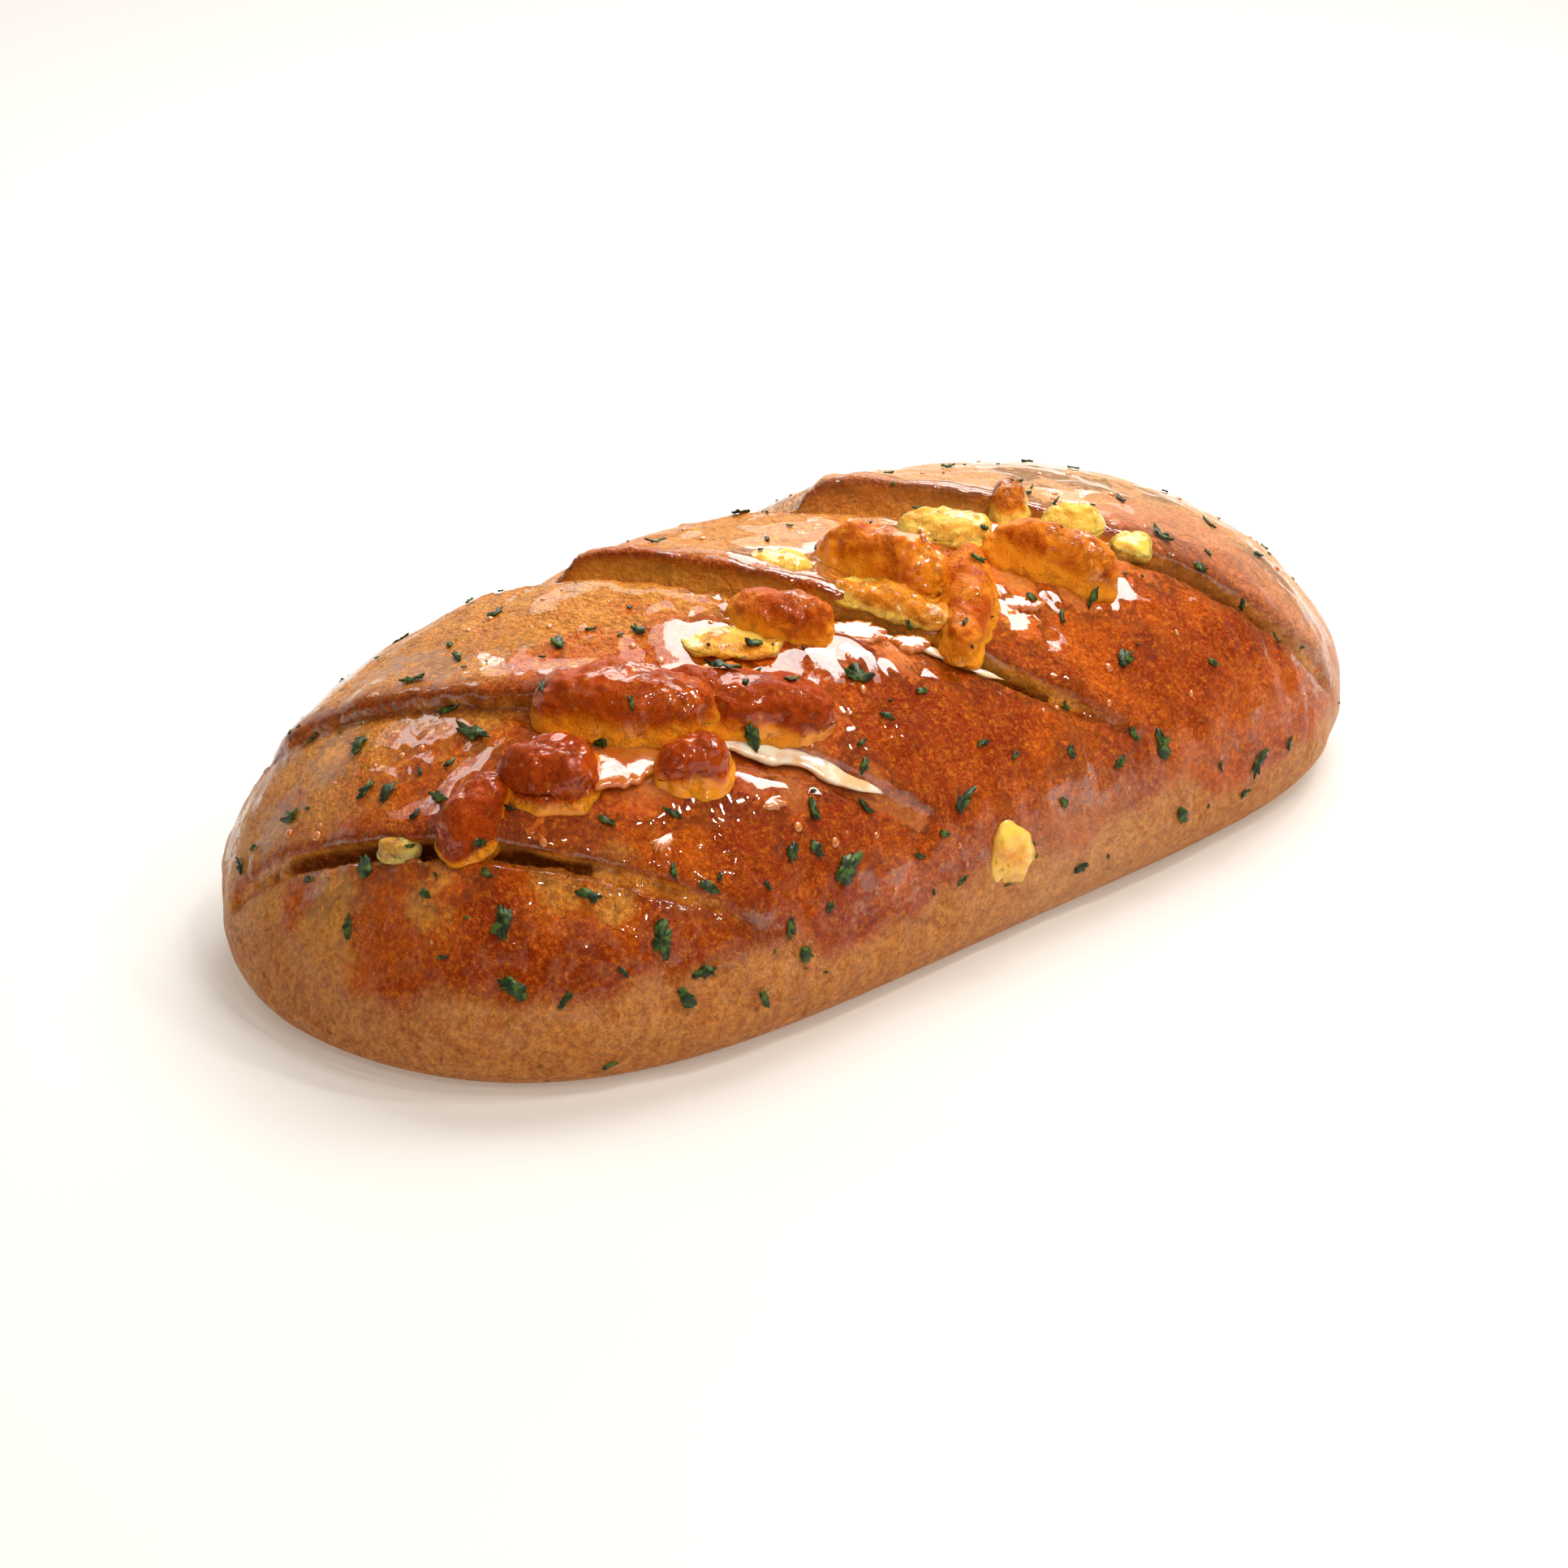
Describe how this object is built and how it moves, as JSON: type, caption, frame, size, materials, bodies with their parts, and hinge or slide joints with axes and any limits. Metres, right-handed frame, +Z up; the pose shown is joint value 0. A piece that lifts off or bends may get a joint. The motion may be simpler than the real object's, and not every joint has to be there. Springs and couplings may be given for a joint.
{
  "type": "garlic baguette",
  "caption": "Short domed bread loaf with slanting slashes, browned cheese melted along its crest, a garlic crumb and chopped parsley, resting on a flat underside.",
  "frame": {"origin": "middle of the object's footprint, on the flat underside", "axes": "+X along the loaf, towards the end that the slashes run to as they come to the front; +Z up out of the crust; -Y is the front side, where the slashes run out"},
  "size_m": [0.225, 0.1112, 0.0633],
  "materials": {
    "crust": "baked crust under a thin coat of butter, golden on its high parts and red-brown on its glazed faces",
    "browned_cheese": "melted cheese with a grainy browned top, wet with butter",
    "melted_cheese": "translucent yellow melted cheese, wet with butter",
    "garlic": "toasted pale yellow garlic",
    "parsley": "chopped dried parsley leaf, dull green"
  },
  "bodies": {
    "root": {"cheese_bridge_11": "browned_cheese", "cheese_melt_06": "melted_cheese", "cheese_melt_08": "melted_cheese", "cheese_melt_10": "melted_cheese", "cheese_melt_15": "melted_cheese", "cheese_melt_16": "melted_cheese", "cheese_melt_17": "melted_cheese", "cheese_nub_02": "browned_cheese", "cheese_nub_03": "browned_cheese", "cheese_nub_07": "browned_cheese", "cheese_stick_01": "browned_cheese", "cheese_stick_04": "browned_cheese", "cheese_stick_05": "browned_cheese", "cheese_stick_09": "browned_cheese", "cheese_stick_12": "melted_cheese", "cheese_stick_13": "browned_cheese", "cheese_wedge_14": "browned_cheese", "garlic_crumb": "garlic", "loaf": "crust", "parsley_01": "parsley", "parsley_02": "parsley", "parsley_03": "parsley", "parsley_04": "parsley", "parsley_05": "parsley", "parsley_06": "parsley", "parsley_07": "parsley", "parsley_08": "parsley", "parsley_09": "parsley", "parsley_10": "parsley", "parsley_11": "parsley", "parsley_12": "parsley", "parsley_13": "parsley", "parsley_14": "parsley", "parsley_15": "parsley", "parsley_16": "parsley", "parsley_17": "parsley", "parsley_18": "parsley", "parsley_19": "parsley", "parsley_20": "parsley", "parsley_21": "parsley", "parsley_22": "parsley", "parsley_23": "parsley", "parsley_24": "parsley", "parsley_25": "parsley", "parsley_26": "parsley", "parsley_27": "parsley", "parsley_28": "parsley", "parsley_29": "parsley", "parsley_30": "parsley", "parsley_31": "parsley", "parsley_32": "parsley", "parsley_33": "parsley", "parsley_34": "parsley", "parsley_35": "parsley", "parsley_36": "parsley", "parsley_37": "parsley", "parsley_38": "parsley", "parsley_39": "parsley", "parsley_40": "parsley", "parsley_41": "parsley"}
  },
  "joints": []
}
